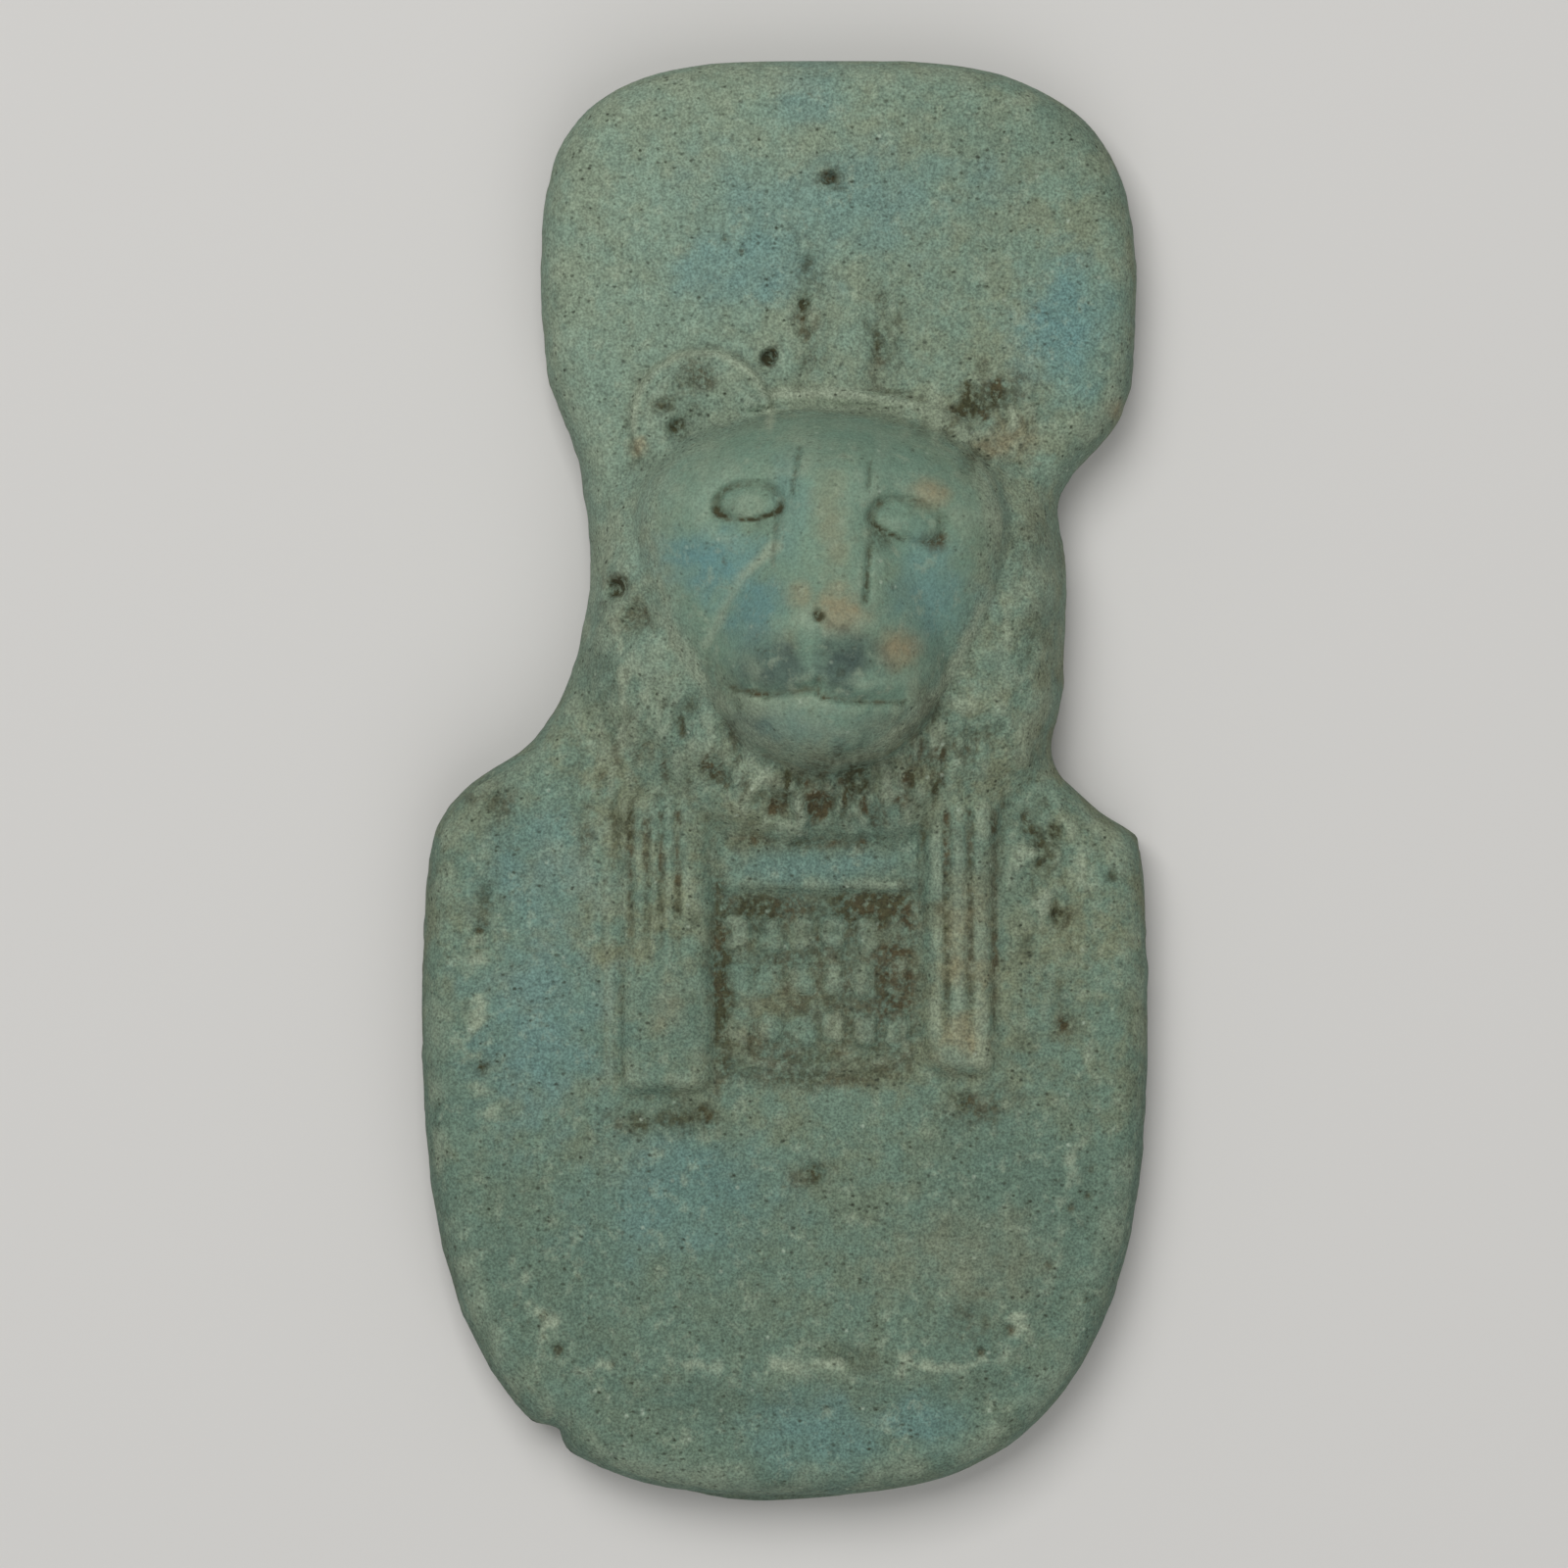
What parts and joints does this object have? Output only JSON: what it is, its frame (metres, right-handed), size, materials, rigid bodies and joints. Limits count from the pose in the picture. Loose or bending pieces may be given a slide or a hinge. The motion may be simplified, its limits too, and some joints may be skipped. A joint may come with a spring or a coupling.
{
  "type": "lioness goddess aegis amulet",
  "caption": "Flat-backed faience aegis: a maned lioness head with a sun disc and worn cobra, set above a broad collar with fluted wig lappets and a beaded neck panel.",
  "frame": {"origin": "middle of the bounding box, on the flat back that the piece lies on", "axes": "+Z out of the face, +Y from the collar towards the sun disc, +X to the right as the face is seen"},
  "size_m": [0.0372, 0.074, 0.0162],
  "materials": {
    "faience": "matte, worn, porous turquoise-green faience with brown dirt in the recesses"
  },
  "bodies": {
    "root": {"lioness_aegis": "faience"}
  },
  "joints": []
}
